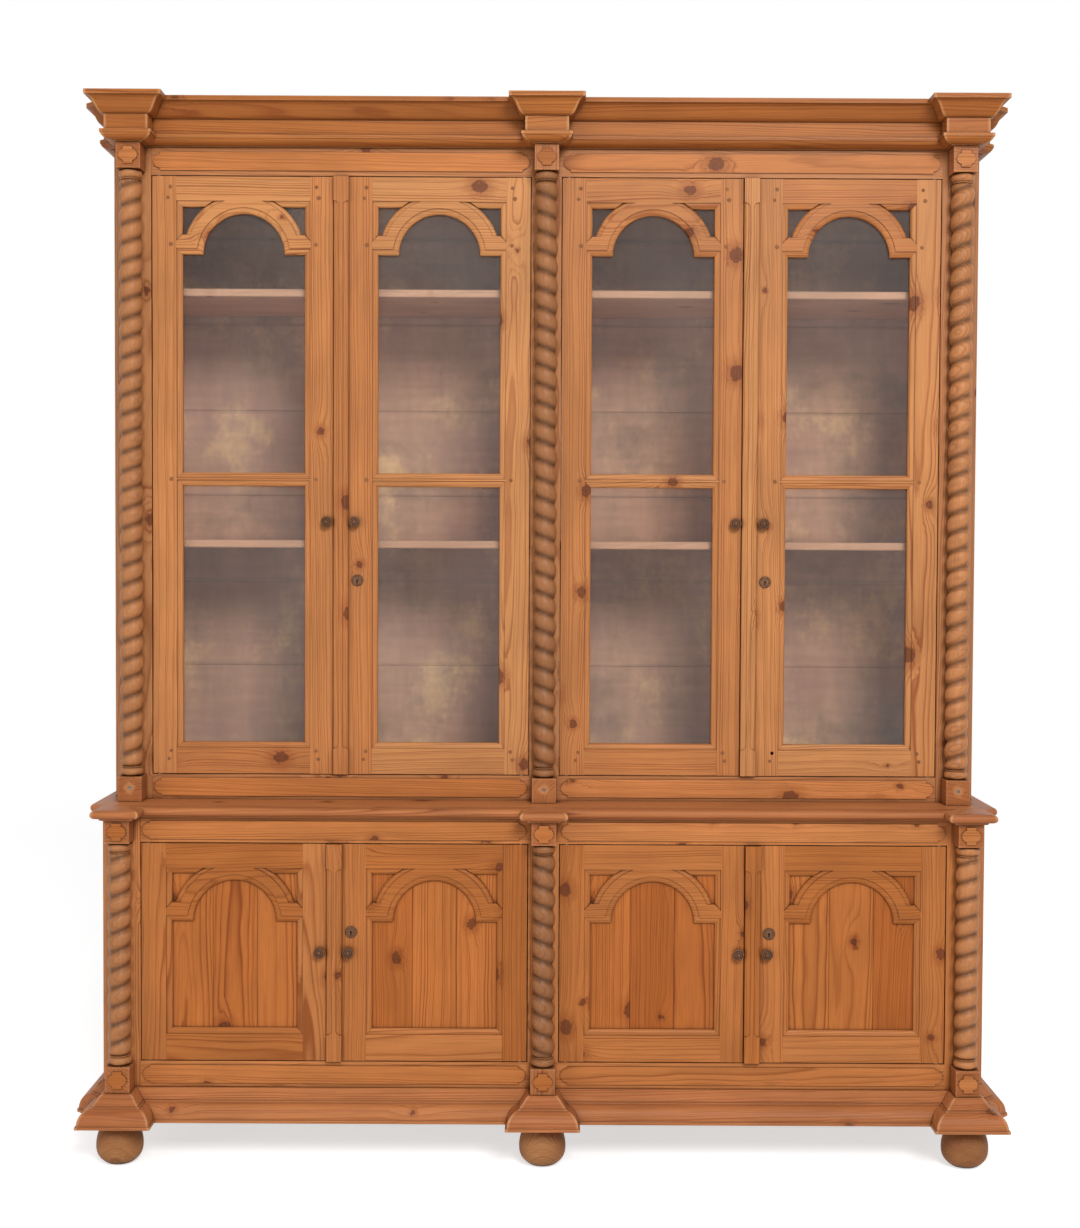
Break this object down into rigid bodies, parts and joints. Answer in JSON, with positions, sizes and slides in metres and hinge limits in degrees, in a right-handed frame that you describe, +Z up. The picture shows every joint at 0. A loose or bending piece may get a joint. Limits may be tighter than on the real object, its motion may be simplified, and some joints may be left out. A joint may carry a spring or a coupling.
{
  "type": "glazed bookcase cabinet",
  "caption": "Breakfront bookcase cabinet in old pine: glazed arched doors over a panelled cupboard, with barley-twist columns, moulded cornice and bun feet.",
  "frame": {"origin": "On the floor, in the middle of the width and of the whole depth", "axes": "X along the front, -Y the front with the doors, +Y the back, +Z up"},
  "size_m": [2.034, 0.627, 2.3],
  "materials": {
    "foot_pine": "worn turned pine, dull",
    "moulding_pine": "old waxed pine, satin",
    "inner_pine": "unwaxed old pine, dull",
    "side_pine": "old waxed pine, satin",
    "front_pine": "old waxed pine, satin",
    "column_pine": "turned waxed pine, satin",
    "old_steel": "dull, darkened",
    "door_pine": "old waxed pine, satin",
    "window_glass": "clear old window glass",
    "knob_wood": "dark turned wood, satin",
    "aged_brass": "dull, browned with age",
    "panel_pine": "old waxed pine, satin"
  },
  "bodies": {
    "cabinet": {"bun_feet": "foot_pine", "plinth_moulding": "moulding_pine", "plinth_bearers": "inner_pine", "lower_floor": "inner_pine", "lower_uprights": "side_pine", "lower_back": "inner_pine", "lower_posts": "front_pine", "lower_rails": "front_pine", "lower_shelves": "inner_pine", "waist_board": "moulding_pine", "waist_nosing": "moulding_pine", "upper_floor_and_top": "inner_pine", "upper_uprights": "side_pine", "upper_back": "inner_pine", "upper_posts": "front_pine", "upper_rails": "front_pine", "upper_shelves": "inner_pine", "shelf_cleats": "inner_pine", "cornice_bed": "moulding_pine", "cornice_frieze": "moulding_pine", "cornice_crown": "moulding_pine", "column_blocks": "front_pine", "upper_columns": "column_pine", "lower_columns": "column_pine", "rail_tablets": "front_pine", "block_tablets": "front_pine", "block_screws": "old_steel", "door_pins": "old_steel"},
    "glazed_door_1": {"glazed_door_1": "door_pine", "door_glass_1": "window_glass", "glazed_knob_1": "knob_wood"},
    "glazed_door_2": {"glazed_door_2": "door_pine", "door_glass_2": "window_glass", "glazed_knob_2": "knob_wood", "glazed_lock_2": "aged_brass"},
    "glazed_door_3": {"glazed_door_3": "door_pine", "door_glass_3": "window_glass", "glazed_knob_3": "knob_wood"},
    "glazed_door_4": {"glazed_door_4": "door_pine", "door_glass_4": "window_glass", "glazed_knob_4": "knob_wood", "glazed_lock_4": "aged_brass"},
    "glazed_bolt_2": {"glazed_bolt_2": "old_steel"},
    "glazed_bolt_4": {"glazed_bolt_4": "old_steel"},
    "cupboard_door_1": {"cupboard_door_1": "door_pine", "door_panel_1": "panel_pine", "cupboard_knob_1": "knob_wood"},
    "cupboard_door_2": {"cupboard_door_2": "door_pine", "door_panel_2": "panel_pine", "cupboard_knob_2": "knob_wood", "cupboard_lock_2": "aged_brass"},
    "cupboard_door_3": {"cupboard_door_3": "door_pine", "door_panel_3": "panel_pine", "cupboard_knob_3": "knob_wood"},
    "cupboard_door_4": {"cupboard_door_4": "door_pine", "door_panel_4": "panel_pine", "cupboard_knob_4": "knob_wood", "cupboard_lock_4": "aged_brass"},
    "cupboard_bolt_2": {"cupboard_bolt_2": "old_steel"},
    "cupboard_bolt_4": {"cupboard_bolt_4": "old_steel"}
  },
  "joints": [
    {"name": "glazed_door_1_hinge", "type": "hinge", "parent": "cabinet", "child": "glazed_door_1", "pos_m": [-0.853, -0.0745, 1.479], "axis": [0, 0, -1], "range_deg": [0, 90]},
    {"name": "glazed_door_2_hinge", "type": "hinge", "parent": "cabinet", "child": "glazed_door_2", "pos_m": [-0.049, -0.0745, 1.479], "axis": [0, 0, 1], "range_deg": [0, 90]},
    {"name": "glazed_bolt_2_throw", "type": "slide", "parent": "glazed_door_2", "child": "glazed_bolt_2", "axis": [-1, 0, 0], "range_m": [0, 0.008]},
    {"name": "glazed_door_3_hinge", "type": "hinge", "parent": "cabinet", "child": "glazed_door_3", "pos_m": [0.049, -0.0745, 1.479], "axis": [0, 0, -1], "range_deg": [0, 90]},
    {"name": "glazed_door_4_hinge", "type": "hinge", "parent": "cabinet", "child": "glazed_door_4", "pos_m": [0.853, -0.0745, 1.479], "axis": [0, 0, 1], "range_deg": [0, 90]},
    {"name": "glazed_bolt_4_throw", "type": "slide", "parent": "glazed_door_4", "child": "glazed_bolt_4", "axis": [-1, 0, 0], "range_m": [0, 0.008]},
    {"name": "cupboard_door_1_hinge", "type": "hinge", "parent": "cabinet", "child": "cupboard_door_1", "pos_m": [-0.853, -0.2005, 0.4495], "axis": [0, 0, -1], "range_deg": [0, 90]},
    {"name": "cupboard_door_2_hinge", "type": "hinge", "parent": "cabinet", "child": "cupboard_door_2", "pos_m": [-0.049, -0.2005, 0.4495], "axis": [0, 0, 1], "range_deg": [0, 90]},
    {"name": "cupboard_bolt_2_throw", "type": "slide", "parent": "cupboard_door_2", "child": "cupboard_bolt_2", "axis": [-1, 0, 0], "range_m": [0, 0.008]},
    {"name": "cupboard_door_3_hinge", "type": "hinge", "parent": "cabinet", "child": "cupboard_door_3", "pos_m": [0.049, -0.2005, 0.4495], "axis": [0, 0, -1], "range_deg": [0, 90]},
    {"name": "cupboard_door_4_hinge", "type": "hinge", "parent": "cabinet", "child": "cupboard_door_4", "pos_m": [0.853, -0.2005, 0.4495], "axis": [0, 0, 1], "range_deg": [0, 90]},
    {"name": "cupboard_bolt_4_throw", "type": "slide", "parent": "cupboard_door_4", "child": "cupboard_bolt_4", "axis": [-1, 0, 0], "range_m": [0, 0.008]}
  ]
}
